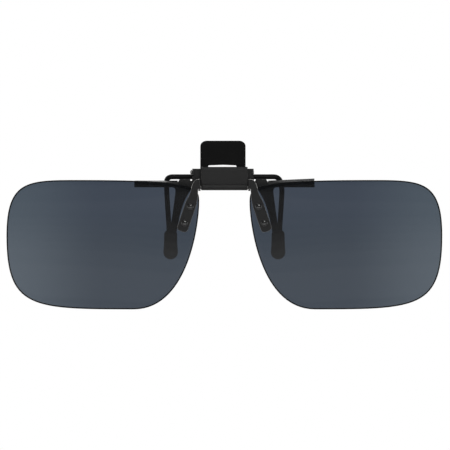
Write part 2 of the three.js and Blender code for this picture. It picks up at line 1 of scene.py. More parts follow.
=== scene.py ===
from math import cos, pi, radians, sin, sqrt, tan

import bmesh
import bpy
from mathutils import Matrix, Vector, geometry


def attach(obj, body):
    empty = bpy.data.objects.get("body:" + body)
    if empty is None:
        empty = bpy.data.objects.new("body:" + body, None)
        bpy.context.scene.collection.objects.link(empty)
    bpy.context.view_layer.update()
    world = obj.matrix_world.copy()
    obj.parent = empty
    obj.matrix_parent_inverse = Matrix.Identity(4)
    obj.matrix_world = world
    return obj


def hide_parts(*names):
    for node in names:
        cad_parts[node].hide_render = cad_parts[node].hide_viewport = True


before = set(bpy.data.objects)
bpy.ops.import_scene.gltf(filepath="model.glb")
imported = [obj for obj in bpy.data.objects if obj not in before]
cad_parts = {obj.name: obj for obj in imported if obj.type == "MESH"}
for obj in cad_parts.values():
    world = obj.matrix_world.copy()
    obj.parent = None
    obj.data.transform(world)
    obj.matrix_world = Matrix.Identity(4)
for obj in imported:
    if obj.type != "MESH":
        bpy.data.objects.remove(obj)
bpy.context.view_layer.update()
scene = bpy.context.scene
mm = 0.001
near = 1e-4  # millimetres; corners closer than this are one
print("frame loaded:", len(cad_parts), "nodes")


def newGroup(name, inputs, outputs):
    group = bpy.data.node_groups.new(name, "ShaderNodeTree")
    for label, value in inputs.items():
        group.interface.new_socket(label, in_out="INPUT", socket_type="NodeSocketFloat").default_value = value
    for label in outputs:
        group.interface.new_socket(label, in_out="OUTPUT", socket_type="NodeSocketFloat")
    start = group.nodes.new("NodeGroupInput")
    end = group.nodes.new("NodeGroupOutput")
    return group, start, end


def addNode(tree, kind, links=None, **values):
    # Makes a node; links maps its input names or numbers to other nodes' outputs or plain values.
    node = tree.nodes.new(kind)
    for key, value in values.items():
        setattr(node, key, value)
    for key, value in (links or {}).items():
        if isinstance(value, bpy.types.NodeSocket):
            tree.links.new(value, node.inputs[key])
        else:
            node.inputs[key].default_value = value
    return node


def mathNode(tree, operation, *values):
    return addNode(tree, "ShaderNodeMath", dict(enumerate(values)), operation=operation).outputs[0]


def rangeNode(tree, value, fromLow, fromHigh, toLow, toHigh):
    return addNode(tree, "ShaderNodeMapRange", {
        "Value": value, "From Min": fromLow, "From Max": fromHigh, "To Min": toLow, "To Max": toHigh,
    }).outputs[0]


def smoothStep(tree, value, start, stop):
    return addNode(tree, "ShaderNodeMapRange", {
        "Value": value, "From Min": start, "From Max": stop,
    }, interpolation_type="SMOOTHSTEP").outputs[0]


def mixColours(tree, share, first, second):
    node = addNode(tree, "ShaderNodeMix", {"Factor": share}, data_type="RGBA")
    ends = [socket for socket in node.inputs if socket.type == "RGBA"]
    for socket, value in zip(ends, (first, second)):
        if isinstance(value, bpy.types.NodeSocket):
            tree.links.new(value, socket)
        else:
            socket.default_value = (*value, 1)
    return next(socket for socket in node.outputs if socket.type == "RGBA")


def objectCoords(tree):
    return addNode(tree, "ShaderNodeTexCoord").outputs["Object"]


def stretchedCoords(tree, scale, turn=0):
    # Object coordinates with a pattern drawn out along an axis, and turned about Y.
    return addNode(tree, "ShaderNodeMapping", {
        "Vector": objectCoords(tree), "Rotation": (0, radians(turn), 0), "Scale": scale,
    }).outputs["Vector"]


def blendValues(tree, first, second, share):
    return mathNode(tree, "ADD", mathNode(tree, "MULTIPLY", first, share),
                    mathNode(tree, "MULTIPLY", second, 1 - share))


def noiseNode(tree, coords, scale, detail, roughness=0.55):
    return addNode(tree, "ShaderNodeTexNoise", {
        "Vector": coords, "Scale": scale, "Detail": detail, "Roughness": roughness,
    }).outputs["Fac"]


grainLook = {"peelScale": 0.55, "fineInHeight": 0.6, "driftInTone": 0.7}


def makeGrain(look):
    # The fine orange peel of a sprayed or moulded surface, with a slow drift in tone.
    group, start, end = newGroup("surfaceGrain", {"Scale": 6000, "Drift Scale": 350}, ["Height", "Tone"])
    coords = objectCoords(group)
    fine = noiseNode(group, coords, start.outputs["Scale"], 3)
    peel = addNode(group, "ShaderNodeTexVoronoi", {
        "Vector": coords, "Scale": mathNode(group, "MULTIPLY", start.outputs["Scale"], look["peelScale"]),
    }, feature="SMOOTH_F1").outputs["Distance"]
    drift = noiseNode(group, coords, start.outputs["Drift Scale"], 4)
    group.links.new(blendValues(group, fine, peel, look["fineInHeight"]), end.inputs["Height"])
    group.links.new(blendValues(group, drift, fine, look["driftInTone"]), end.inputs["Tone"])
    return group


wearLook = {"hardest": 0.8, "perAmount": 0.5, "softness": 0.12, "breakUp": 0.65}


def makeWear(look):
    # Rubbed edges, and on the bracket a painted highlight: the bevelled faces carry the mark, broken up by
    # noise.
    group, start, end = newGroup("edgeWear", {"Amount": 0.5, "Scale": 1200}, ["Mask"])
    coords = objectCoords(group)
    edge = addNode(group, "ShaderNodeAttribute", attribute_name="worn").outputs["Fac"]
    patches = noiseNode(group, coords, start.outputs["Scale"], 5, look["breakUp"])
    limit = mathNode(group, "SUBTRACT", look["hardest"],
                     mathNode(group, "MULTIPLY", start.outputs["Amount"], look["perAmount"]))
    rubbed = rangeNode(group, patches, limit, mathNode(group, "ADD", limit, look["softness"]), 0, 1)
    group.links.new(mathNode(group, "MULTIPLY", edge, rubbed), end.inputs["Mask"])
    return group


dustLook = {"rarity": 0.12, "speckEdge": 0.1, "speckCore": 0.04}


def makeDust(look):
    # A few light specks, each a fraction of a millimetre across.
    group, start, end = newGroup("dustSpecks", {"Scale": 700, "Amount": 0.5}, ["Mask"])
    cells = addNode(group, "ShaderNodeTexVoronoi", {
        "Vector": objectCoords(group), "Scale": start.outputs["Scale"],
    })
    pick = addNode(group, "ShaderNodeSeparateColor", {"Color": cells.outputs["Color"]}).outputs[0]
    share = mathNode(group, "MULTIPLY", start.outputs["Amount"], look["rarity"])
    chosen = mathNode(group, "LESS_THAN", pick, share)
    speck = rangeNode(group, cells.outputs["Distance"], look["speckEdge"], look["speckCore"], 0, 1)
    group.links.new(mathNode(group, "MULTIPLY", chosen, speck), end.inputs["Mask"])
    return group


hazeLook = {"wipeTurn": 28, "wipeStretch": 3.5, "clearUnder": 0.35, "hazyOver": 0.75}


def makeHaze(look):
    # Wiped, streaky haze for smooth surfaces.
    group, start, end = newGroup("wipedHaze", {"Scale": 60}, ["Mask"])
    wiped = stretchedCoords(group, (1, 1, look["wipeStretch"]), look["wipeTurn"])
    broad = noiseNode(group, wiped, start.outputs["Scale"], 5, 0.6)
    group.links.new(rangeNode(group, broad, look["clearUnder"], look["hazyOver"], 0, 1), end.inputs["Mask"])
    return group


grainGroup, wearGroup = makeGrain(grainLook), makeWear(wearLook)
dustGroup, hazeGroup = makeDust(dustLook), makeHaze(hazeLook)
print("shared effects ready")


def useGroup(tree, group, values):
    node = tree.nodes.new("ShaderNodeGroup")
    node.node_tree = group
    for label, value in values.items():
        node.inputs[label].default_value = value
    return node


def startMaterial(name, constants):
    # A new material whose shader has the plain values that hold all over the surface.
    material = bpy.data.materials.new(name)
    material.use_nodes = True
    tree = material.node_tree
    shader = tree.nodes["Principled BSDF"]
    for label, value in constants.items():
        shader.inputs[label].default_value = value
    return material, tree, shader


def addBump(tree, shader, height, strength, distance):
    bump = addNode(tree, "ShaderNodeBump", {"Height": height, "Strength": strength, "Distance": distance})
    tree.links.new(bump.outputs["Normal"], shader.inputs["Normal"])


enamelCoat = {"dustStrength": 0.35, "toneLow": 0.3, "toneHigh": 0.7, "glossSpread": 0.07,
              "rubbedGloss": 0.12, "rubbedMetal": 0.85, "bumpDepth": 0.04 * mm}


def makeEnamel(name, look):
    # Black stoved paint on sheet steel, rubbed through to grey metal along its edges; the bracket's
    # near-white bare edges are a painted highlight as well as wear.
    coat, gloss = enamelCoat, look["roughness"]
    material, tree, shader = startMaterial(name, {"Specular IOR Level": look["specular"]})
    grain = useGroup(tree, grainGroup, {"Scale": look["grainScale"], "Drift Scale": look["driftScale"]})
    worn = useGroup(tree, wearGroup, {"Amount": look["wear"], "Scale": look["wearScale"]}).outputs["Mask"]
    dust = useGroup(tree, dustGroup, {"Scale": look["dustScale"], "Amount": look["dust"]}).outputs["Mask"]
    paint = mixColours(tree, grain.outputs["Tone"], look["dark"], look["light"])
    dusty = mathNode(tree, "MULTIPLY", dust, coat["dustStrength"])
    dusted = mixColours(tree, dusty, paint, look["dustColour"])
    tree.links.new(mixColours(tree, worn, dusted, look["bare"]), shader.inputs["Base Color"])
    matt = rangeNode(tree, grain.outputs["Tone"], coat["toneLow"], coat["toneHigh"],
                     gloss - coat["glossSpread"], gloss + coat["glossSpread"])
    polished = mathNode(tree, "MULTIPLY", worn, coat["rubbedGloss"])
    tree.links.new(mathNode(tree, "SUBTRACT", matt, polished), shader.inputs["Roughness"])
    tree.links.new(mathNode(tree, "MULTIPLY", worn, coat["rubbedMetal"]), shader.inputs["Metallic"])
    addBump(tree, shader, grain.outputs["Height"], look["bump"], coat["bumpDepth"])
    return material


enamelLooks = {
    "blackSteel": {
        "dark": (0.010, 0.010, 0.0105), "light": (0.019, 0.019, 0.0195), "bare": (0.20, 0.19, 0.18),
        "dustColour": (0.16, 0.155, 0.145), "roughness": 0.42, "specular": 0.42, "wear": 0.45,
        "wearScale": 900, "grainScale": 5200, "driftScale": 300, "bump": 0.35, "dust": 0.35, "dustScale": 900,
    },
    "wireSteel": {
        "dark": (0.004, 0.004, 0.0042), "light": (0.009, 0.009, 0.0092), "bare": (0.20, 0.19, 0.18),
        "dustColour": (0.14, 0.135, 0.13), "roughness": 0.45, "specular": 0.22, "wear": 0.4,
        "wearScale": 900, "grainScale": 5200, "driftScale": 320, "bump": 0.35, "dust": 0.3, "dustScale": 900,
    },
    "coverSteel": {
        "dark": (0.012, 0.012, 0.012), "light": (0.021, 0.021, 0.0205), "bare": (0.22, 0.21, 0.19),
        "dustColour": (0.2, 0.19, 0.17), "roughness": 0.46, "specular": 0.45, "wear": 0.5,
        "wearScale": 800, "grainScale": 4300, "driftScale": 260, "bump": 0.4, "dust": 0.5, "dustScale": 800,
    },
    # The tab's black enamel is made darker and duller than the cover's: painted shade.
    "tabSteelShaded": {
        "dark": (0.0028, 0.0028, 0.0028), "light": (0.006, 0.006, 0.0057), "bare": (0.16, 0.155, 0.14),
        "dustColour": (0.12, 0.115, 0.105), "roughness": 0.52, "specular": 0.13, "wear": 0.4,
        "wearScale": 700, "grainScale": 4800, "driftScale": 240, "bump": 0.4, "dust": 0.5, "dustScale": 700,
    },
    # The bracket's near-white bare edges are a painted highlight on its bevels, as well as wear.
    "bracketSteelEdgeHighlight": {
        "dark": (0.012, 0.012, 0.0125), "light": (0.021, 0.021, 0.0215), "bare": (0.80, 0.79, 0.77),
        "dustColour": (0.16, 0.155, 0.15), "roughness": 0.4, "specular": 0.38, "wear": 0.95,
        "wearScale": 700, "grainScale": 5600, "driftScale": 320, "bump": 0.3, "dust": 0.3, "dustScale": 900,
    },
    "rivetSteel": {
        "dark": (0.008, 0.008, 0.0085), "light": (0.018, 0.018, 0.019), "bare": (0.45, 0.44, 0.43),
        "dustColour": (0.2, 0.2, 0.19), "roughness": 0.14, "specular": 1, "wear": 0.5,
        "wearScale": 1500, "grainScale": 7000, "driftScale": 900, "bump": 0.2, "dust": 0.3, "dustScale": 1500,
    },
}
enamels = {name: makeEnamel(name, look) for name, look in enamelLooks.items()}


springLook = {
    "dark": (0.30, 0.295, 0.29), "light": (0.50, 0.49, 0.48), "stain": (0.22, 0.19, 0.16), "stainMost": 0.5,
    "streaks": (0.15, 1, 1), "streakScale": 9000, "grainScale": 8000, "driftScale": 500,
    "glossy": 0.24, "dull": 0.42, "bump": 0.25, "bumpDepth": 0.02 * mm,
}


def makeSpringSteel(look):
    # Drawn, bare spring steel: streaks along X, a warm stain and a soft shine.
    material, tree, shader = startMaterial("springSteel", {"Metallic": 1})
    streak = noiseNode(tree, stretchedCoords(tree, look["streaks"]), look["streakScale"], 4)
    grain = useGroup(tree, grainGroup, {"Scale": look["grainScale"], "Drift Scale": look["driftScale"]})
    bare = mixColours(tree, streak, look["dark"], look["light"])
    stained = rangeNode(tree, grain.outputs["Tone"], 0.5, 0.75, 0, look["stainMost"])
    tree.links.new(mixColours(tree, stained, bare, look["stain"]), shader.inputs["Base Color"])
    gloss = rangeNode(tree, streak, 0.3, 0.7, look["glossy"], look["dull"])
    tree.links.new(gloss, shader.inputs["Roughness"])
    addBump(tree, shader, streak, look["bump"], look["bumpDepth"])
    return material


springSteel = makeSpringSteel(springLook)


rubberLook = {
    "dark": (0.024, 0.0232, 0.0245), "bloom": (0.042, 0.041, 0.043), "dustColour": (0.2, 0.19, 0.18),
    "grainScale": 4200, "bloomScale": 420, "dustScale": 900, "dust": 0.7, "dustStrength": 0.3,
    "glossy": 0.62, "dull": 0.8, "bump": 0.5, "bumpDepth": 0.05 * mm,
    "shader": {"Specular IOR Level": 0.35, "Sheen Weight": 0.12, "Sheen Roughness": 0.5},
}


def makeRubber(look):
    # Soft black tip rubber: a matt, finely pitted skin with a faint bloom.
    material, tree, shader = startMaterial("tipRubber", look["shader"])
    grain = useGroup(tree, grainGroup, {"Scale": look["grainScale"], "Drift Scale": look["bloomScale"]})
    dust = useGroup(tree, dustGroup, {"Scale": look["dustScale"], "Amount": look["dust"]}).outputs["Mask"]
    bloom = rangeNode(tree, grain.outputs["Tone"], 0.35, 0.7, 0, 1)
    skin = mixColours(tree, bloom, look["dark"], look["bloom"])
    dusty = mathNode(tree, "MULTIPLY", dust, look["dustStrength"])
    tree.links.new(mixColours(tree, dusty, skin, look["dustColour"]), shader.inputs["Base Color"])
    matt = rangeNode(tree, grain.outputs["Tone"], 0.3, 0.7, look["glossy"], look["dull"])
    tree.links.new(matt, shader.inputs["Roughness"])
    addBump(tree, shader, grain.outputs["Height"], look["bump"], look["bumpDepth"])
    return material


tipRubber = makeRubber(rubberLook)


# The outer colour is a painted reflection of the side lights in the curved lens; high is the tint made
# lighter towards the top.
lensLook = {
    "low": (0.031, 0.044, 0.063), "high": (0.046, 0.059, 0.082), "outer": (0.071, 0.092, 0.116),
    "highFrom": -2 * mm, "highTo": 14 * mm, "sideReflectionFrom": 36 * mm, "outTo": 68 * mm, "ior": 1.43,
    "waves": 0.08, "wobbleScale": 130, "wobbleInFilm": 0.6, "hazeScale": 70, "clear": 0.015, "hazy": 0.05,
    "rings": {"Scale": 260, "Distortion": 6, "Detail": 2, "Detail Scale": 1.2},
}


def makeLensTint(look):
    # Smoke film between clear skins. Its tint is painted lighter outwards, a painted reflection of the side
    # lights in the curved lens, and is lighter upwards.
    material, tree, shader = startMaterial("smokeLens", {"Transmission Weight": 1, "IOR": look["ior"]})
    coords = objectCoords(tree)
    parts = addNode(tree, "ShaderNodeSeparateXYZ", {"Vector": coords})
    sideways = mathNode(tree, "ABSOLUTE", parts.outputs["X"])
    sideReflection = smoothStep(tree, sideways, look["sideReflectionFrom"], look["outTo"])
    upwards = smoothStep(tree, parts.outputs["Z"], look["highFrom"], look["highTo"])
    wobble = noiseNode(tree, coords, look["wobbleScale"], 3)
    rings = addNode(tree, "ShaderNodeTexWave", {"Vector": coords, **look["rings"]},
                    wave_type="RINGS", rings_direction="Y").outputs["Fac"]
    film = blendValues(tree, wobble, rings, look["wobbleInFilm"])
    unevenness = mathNode(tree, "MULTIPLY", mathNode(tree, "SUBTRACT", film, 0.5), look["waves"])
    inner = mixColours(tree, upwards, look["low"], look["high"])
    tintAndReflection = mixColours(tree, mathNode(tree, "ADD", sideReflection, unevenness), inner, look["outer"])
    tree.links.new(tintAndReflection, shader.inputs["Base Color"])
    haze = useGroup(tree, hazeGroup, {"Scale": look["hazeScale"]}).outputs["Mask"]
    tree.links.new(rangeNode(tree, haze, 0, 1, look["clear"], look["hazy"]), shader.inputs["Roughness"])
    return material


lensEdgeLook = {
    "ground": (0.003, 0.0033, 0.004), "lightest": 2.2, "marksScale": 2600, "marksStretch": (1, 9, 1),
    "specular": 0.12, "glossy": 0.5, "dull": 0.66, "bump": 0.3, "bumpDepth": 0.03 * mm,
}


def makeLensEdge(look):
    # The ground edge of the lens: dark and satin, with fine marks of the wheel.
    material, tree, shader = startMaterial("groundLensEdge", {"Specular IOR Level": look["specular"]})
    marks = noiseNode(tree, stretchedCoords(tree, look["marksStretch"]), look["marksScale"], 4)
    pale = [share * look["lightest"] for share in look["ground"]]
    tree.links.new(mixColours(tree, marks, look["ground"], pale), shader.inputs["Base Color"])
    gloss = rangeNode(tree, marks, 0.3, 0.7, look["glossy"], look["dull"])
    tree.links.new(gloss, shader.inputs["Roughness"])
    addBump(tree, shader, marks, look["bump"], look["bumpDepth"])
    return material


smokeLens, groundLensEdge = makeLensTint(lensLook), makeLensEdge(lensEdgeLook)
print("finishes ready:", len(bpy.data.materials))


def curved(start, aim, end, steps):
    # Points on a curve that leaves start towards aim and reaches end from it.
    start, aim, end = Vector(start), Vector(aim), Vector(end)
    return geometry.interpolate_bezier(start, start.lerp(aim, 2 / 3), end.lerp(aim, 2 / 3), end, steps + 1)


def arcPoints(y, z, radius, start, stop, steps):
    turns = [radians(start + (stop - start) * i / steps) for i in range(steps + 1)]
    return [Vector((0, y + radius * cos(turn), z + radius * sin(turn))) for turn in turns]


def softened(corners, trim, steps=6):
    # A path through corners with each one between rounded off.
    corners = [Vector(corner) for corner in corners]
    path = corners[:1]
    for before, corner, after in zip(corners, corners[1:], corners[2:]):
        start = corner + (before - corner).normalized() * trim
        end = corner + (after - corner).normalized() * trim
        path += curved(start, corner, end, steps)
    return path + corners[-1:]


def roundCorner(start, corner, end, steps):
    # Points of a quarter of an ellipse from start to end, under the corner.
    middle = start + end - corner
    return [middle + (start - middle) * cos(t * pi / 2 / steps) + (end - middle) * sin(t * pi / 2 / steps)
            for t in range(steps + 1)]


def domeOver(along, height, radius, steps):
    # A quarter of an ellipse in (place along the axis, radius) pairs, from its rim to its tip.
    turns = [i * pi / 2 / steps for i in range(steps)]
    return [*((along + height * sin(turn), radius * cos(turn)) for turn in turns), (along + height, 0)]


def mergeDoubles(bm):
    bmesh.ops.remove_doubles(bm, verts=bm.verts[:], dist=near)


def addPath(bm, points):
    verts = [bm.verts.new(point) for point in points]
    return [bm.edges.new(pair) for pair in zip(verts, verts[1:])]


def extrudeEdges(bm, edges):
    # Extrudes edges in place and returns the new corners and the new edges.
    made = bmesh.ops.extrude_edge_only(bm, edges=edges)["geom"]
    verts = [v for v in made if isinstance(v, bmesh.types.BMVert)]
    return verts, [e for e in made if isinstance(e, bmesh.types.BMEdge) and all(v in verts for v in e.verts)]


def pullEdges(bm, edges, vec):
    verts, pulled = extrudeEdges(bm, edges)
    bmesh.ops.translate(bm, verts=verts, vec=vec)
    return pulled


def sweepAlongX(bm, edges, stations):
    # Pulls a profile that lies at the first station on through the others.
    for before, after in zip(stations, stations[1:]):
        edges = pullEdges(bm, edges, (after - before, 0, 0))


def bendEdge(bm, edge, centre, axis, angle, steps):
    # Carries an edge round a bend and returns it at the bend's end.
    made = bmesh.ops.spin(bm, geom=[edge, *edge.verts], cent=centre, axis=axis, angle=radians(angle),
                          steps=steps, use_merge=False, use_duplicate=False)["geom_last"]
    return next(e for e in made if isinstance(e, bmesh.types.BMEdge))


def addEye(bm, edge, arc):
    # Rounds off an upright edge with a flat lug, whose outline is the arc from the edge's lower end.
    low, high = sorted(edge.verts, key=lambda v: v.co.z)
    bm.faces.new([high, low, *[bm.verts.new((low.co.x, spot.y, spot.z)) for spot in arc]])


def faceFront(bm):
    # Makes an open sheet's faces agree, with the one that shows widest from the front facing it (-Y).
    bmesh.ops.recalc_face_normals(bm, faces=bm.faces[:])
    bm.normal_update()
    widest = max(bm.faces, key=lambda f: f.calc_area() * abs(f.normal.y))
    if widest.normal.y > 0:
        bmesh.ops.reverse_faces(bm, faces=bm.faces[:])


def easeEdges(bm, width, segments=2, sharper=50):
    # Rounds the sharp edges and marks the new faces as ones that wear, which on the bracket also carry a
    # painted highlight.
    worn = bm.faces.layers.float.get("worn") or bm.faces.layers.float.new("worn")
    bm.normal_update()
    sharp = [e for e in bm.edges if len(e.link_faces) == 2 and e.calc_face_angle() > radians(sharper)]
    made = bmesh.ops.bevel(bm, geom=sharp, offset=width, offset_type="OFFSET", affect="EDGES",
                           segments=segments, profile=0.5, material=-1, clamp_overlap=True)
    for face in made["faces"]:
        face[worn] = 1


def thicken(bm, thickness, easing, segments=2):
    # Gives a sheet its thickness behind the side that is drawn, and eases its cut edges.
    mergeDoubles(bm)
    faceFront(bm)
    bmesh.ops.solidify(bm, geom=bm.faces[:], thickness=thickness)
    bmesh.ops.recalc_face_normals(bm, faces=bm.faces[:])
    easeEdges(bm, easing, segments)


def turned(profile, axis, steps):
    # A round piece from (place along the axis, radius) pairs; axis is X or Y through the origin.
    bm = bmesh.new()
    along = Vector((1, 0, 0)) if axis == "X" else Vector((0, 1, 0))
    edges = addPath(bm, [along * place + Vector((0, 0, radius)) for place, radius in profile])
    bmesh.ops.spin(bm, geom=bm.verts[:] + edges, cent=(0, 0, 0), axis=along, angle=2 * pi, steps=steps,
                   use_merge=True, use_duplicate=False)
    mergeDoubles(bm)
    return bm


def addPiece(name, shape, finishes, body, node):
    piece = bpy.data.objects.new(name, shape)
    scene.collection.objects.link(piece)
    for finish in finishes:
        shape.materials.append(finish)
    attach(piece, body)
    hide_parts(node)
    return piece


shading = {"smoothUnder": 38, "faceWeight": 60}


def finishMesh(name, bm, finishes, body, node, mirrored=False):
    mergeDoubles(bm)
    if mirrored:
        bmesh.ops.scale(bm, vec=(-1, 1, 1), verts=bm.verts[:])
    bmesh.ops.recalc_face_normals(bm, faces=bm.faces[:])
    bmesh.ops.scale(bm, vec=(mm, mm, mm), verts=bm.verts[:])
    mesh = bpy.data.meshes.new(name)
    bm.to_mesh(mesh)
    bm.free()
    mesh.shade_smooth()
    mesh.set_sharp_from_angle(angle=radians(shading["smoothUnder"]))
    piece = addPiece(name, mesh, finishes, body, node)
    flatten = piece.modifiers.new("evenNormals", "WEIGHTED_NORMAL")
    flatten.keep_sharp = True
    flatten.weight = shading["faceWeight"]
    return piece


def finishPair(name, build, finishes, body):
    for mirrored, side in ((False, "right"), (True, "left")):
        finishMesh(f"{side}{name[0].upper()}{name[1:]}", build(), finishes, body,
                   f"{side}_" + "".join("_" + c.lower() if c.isupper() else c for c in name), mirrored)


def finishWire(name, points, radius, roundness, finishes, body, node):
    # A round wire along points in millimetres.
    curve = bpy.data.curves.new(name, "CURVE")
    curve.dimensions = "3D"
    curve.bevel_depth = radius * mm
    curve.bevel_resolution = roundness
    curve.use_fill_caps = True
    line = curve.splines.new("POLY")
    line.points.add(len(points) - 1)
    for knot, point in zip(line.points, points):
        knot.co = (*(Vector(point) * mm), 1)
    return addPiece(name, curve, finishes, body, node)


lens = {
    "noseX": 7.8, "top": 19.87, "width": 60, "height": 40.2, "front": -6.4, "thickness": 0.9,
    "curveRadius": 300, "flat": 3.925, "dishX": 11.466, "dishZ": 8.939, "rings": 14, "stepsAlong": 30,
    "extremes": [(0.65, 1), (1, 0.57), (0.34, 0), (0, 0.83)],
    "fullness": [(0.7, 0.98), (1, 0.8), (0.84, 0.2), (0.76, 0.97)], "edgeEase": 0.4,
}


def lensOutline():
    # Four quarters between the outline's extreme points, each pulled towards its corner by its fullness.
    bottom = lens["top"] - lens["height"]
    knots = [Vector((lens["noseX"] + across * lens["width"], 0, bottom + up * lens["height"]))
             for across, up in lens["extremes"]]
    outline = []
    for i, start in enumerate(knots):
        end = knots[(i + 1) % 4]
        corner = Vector((end.x, 0, start.z)) if i % 2 == 0 else Vector((start.x, 0, end.z))
        leave, arrive = lens["fullness"][i]
        quarter = geometry.interpolate_bezier(start, start.lerp(corner, leave), end.lerp(corner, arrive), end,
                                              lens["stepsAlong"] + 1)
        outline += quarter[:-1]
    return outline


def lensShape():
    bm = bmesh.new()
    outline = lensOutline()
    middle = sum(outline, Vector()) / len(outline)
    verts = [bm.verts.new(point) for point in outline]
    ring = [bm.edges.new(pair) for pair in zip(verts, verts[1:] + verts[:1])]
    for inside in range(lens["rings"], 0, -1):
        verts, ring = extrudeEdges(bm, ring)
        share = 1 - 1 / (inside + 1)
        bmesh.ops.scale(bm, vec=(share, 1, share), space=Matrix.Translation(-middle), verts=verts)
    bmesh.ops.contextual_create(bm, geom=ring)
    bmesh.ops.poke(bm, faces=[f for f in bm.faces if len(f.verts) > 4])
    for vert in bm.verts:  # the dish, struck about the flat seat under the bracket
        away = sqrt((vert.co.x - lens["dishX"]) ** 2 + (vert.co.z - lens["dishZ"]) ** 2) - lens["flat"]
        vert.co.y = lens["front"] + lens["curveRadius"] - sqrt(lens["curveRadius"] ** 2 - max(away, 0) ** 2)
    faceFront(bm)
    bmesh.ops.solidify(bm, geom=bm.faces[:], thickness=lens["thickness"])
    bmesh.ops.recalc_face_normals(bm, faces=bm.faces[:])
    bm.normal_update()
    film, ground = 0, 1  # material slots
    for face in bm.faces:
        if abs(face.normal.y) < sin(radians(45)):
            face.material_index = ground
    rim = [e for e in bm.edges if {f.material_index for f in e.link_faces} == {film, ground}]
    eased = bmesh.ops.bevel(bm, geom=rim, offset=lens["edgeEase"], offset_type="OFFSET", affect="EDGES",
                            segments=3, profile=0.5, material=-1, clamp_overlap=True)
    for face in eased["faces"]:
        face.material_index = ground
    return bm


finishPair("lens", lensShape, [smokeLens, groundLensEdge], "lens_assembly")
print("lenses made")


bracket = {
    "earX": 7.4, "front": -7.15, "sheet": 0.7, "bendRadius": 0.75, "axleY": -5.4, "axleZ": 17.62,
    "earBottom": 17, "earRadius": 1.15, "earTo": 70,
    "shoulderTop": 20.1, "shoulderFall": 0.1, "shoulderOut": 2.8, "shoulderAim": 2.25,
    "rivetX": 10.6, "rivetZ": 11.47, "pitch": 5.35, "slant": 18.9, "outer": 1.85, "inner": 1.65, "past": 2.7,
    "corner": 1.4, "innerAim": 2.6, "outerFrom": 1.2, "hipLean": 0.1, "hipAim": 1.6,
    "easing": 0.26, "stripEdgeHighlightShare": 0.35,
}


def bracketShape():
    # The slanting strip with its neck and shoulder in one sheet, then the ear bent back from the neck.
    size = bracket
    down = Vector((sin(radians(size["slant"])), 0, -cos(radians(size["slant"]))))
    outward = Vector((-down.z, 0, down.x))
    rivetAt = Vector((size["rivetX"], size["front"], size["rivetZ"]))

    def at(along, out):
        return rivetAt + down * along + outward * out

    def point(x, z):
        return Vector((x, size["front"], z))

    end, bendX = size["pitch"] + size["past"], size["earX"] + size["bendRadius"]
    inner, outer, corner = -size["inner"], size["outer"], size["corner"]
    hip = point(size["earX"] + size["shoulderOut"], size["axleZ"])
    hipAim = hip + Vector((size["hipLean"], 0, -size["hipAim"]))
    shoulderAim = point(size["earX"] + size["shoulderAim"], size["shoulderTop"] - size["shoulderFall"])
    outline = [
        *curved(point(bendX, size["earBottom"]), at(-size["innerAim"], inner), at(0, inner), 8),
        *curved(at(end - corner, inner), at(end, inner), at(end, inner + corner), 6),
        *curved(at(end, outer - corner), at(end, outer), at(end - corner, outer), 6),
        *curved(at(-size["outerFrom"], outer), hipAim, hip, 8),
        *curved(hip, shoulderAim, point(bendX, size["shoulderTop"]), 9)[1:],
    ]
    bm = bmesh.new()
    verts = [bm.verts.new(spot) for spot in outline]
    bm.faces.new(verts)
    edge = bendEdge(bm, bm.edges.get((verts[-1], verts[0])), (bendX, size["front"] + size["bendRadius"], 0),
                    (0, 0, 1), -90, 6)
    addEye(bm, edge, arcPoints(size["axleY"], size["axleZ"], size["earRadius"], -90, size["earTo"], 14))
    thicken(bm, size["sheet"], size["easing"], 3)
    worn = bm.faces.layers.float["worn"]
    for face in bm.faces:  # the shoulder's bright bare edges are a painted highlight; the strip's edges get less of it
        if face.calc_center_median().z < size["earBottom"]:
            face[worn] *= size["stripEdgeHighlightShare"]
    return bm


finishPair("lensBracket", bracketShape, [enamels["bracketSteelEdgeHighlight"]], "lens_assembly")
print("brackets made")


rivet = {"shank": 0.5, "head": 1.1, "upset": 0.75, "headHeight": 0.5, "upsetHeight": 0.35, "rim": 0.12,
         "draft": 0.02, "front": -7.2, "back": -4.95}
washer = {"hole": 0.55, "radius": 1.2, "front": -5.45, "back": -5.05, "ease": 0.08}


def rivetPlace(along):
    slant = radians(bracket["slant"])
    return Vector((bracket["rivetX"] + along * sin(slant), 0, bracket["rivetZ"] - along * cos(slant)))


def rivetShape(along):
    # A domed head with a small upright rim, and the end that was closed over the washer.
    size = rivet
    dome = domeOver(size["front"] - size["rim"], size["rim"] - size["headHeight"], size["head"], 8)
    bm = turned([
        *reversed(dome), (size["front"], size["head"] - size["draft"]), (size["front"], size["shank"]),
        (size["back"], size["shank"]), *domeOver(size["back"], size["upsetHeight"], size["upset"], 6),
    ], "Y", 36)
    bmesh.ops.translate(bm, verts=bm.verts[:], vec=rivetPlace(along))
    return bm


def washerShape(along):
    front, back, radius, hole, ease = (washer[key] for key in ("front", "back", "radius", "hole", "ease"))
    bm = turned([
        (front, radius - ease), (front + ease, radius), (back - ease, radius), (back, radius - ease),
        (back, hole), (front, hole), (front, radius - ease),
    ], "Y", 36)
    bmesh.ops.translate(bm, verts=bm.verts[:], vec=rivetPlace(along))
    return bm


for level, along in (("upper", 0), ("lower", bracket["pitch"])):
    for name, shape in (("Rivet", rivetShape), ("Washer", washerShape)):
        finishPair(level + name, lambda: shape(along), [enamels["rivetSteel"]], "lens_assembly")
print("rivets and washers made")


clampShift = -0.45  # of the clamp's ears, pin and lever from the lenses' middle
axle = {"radius": 0.4, "headFrom": 8.15, "headRadius": 0.72, "headLength": 0.4, "ease": 0.05}
pin = {"radius": 0.5, "headFrom": 9.6, "headRadius": 0.75, "headLength": 0.6, "ease": 0.06, "end": 9.65,
       "y": 0.1, "z": 22.3}


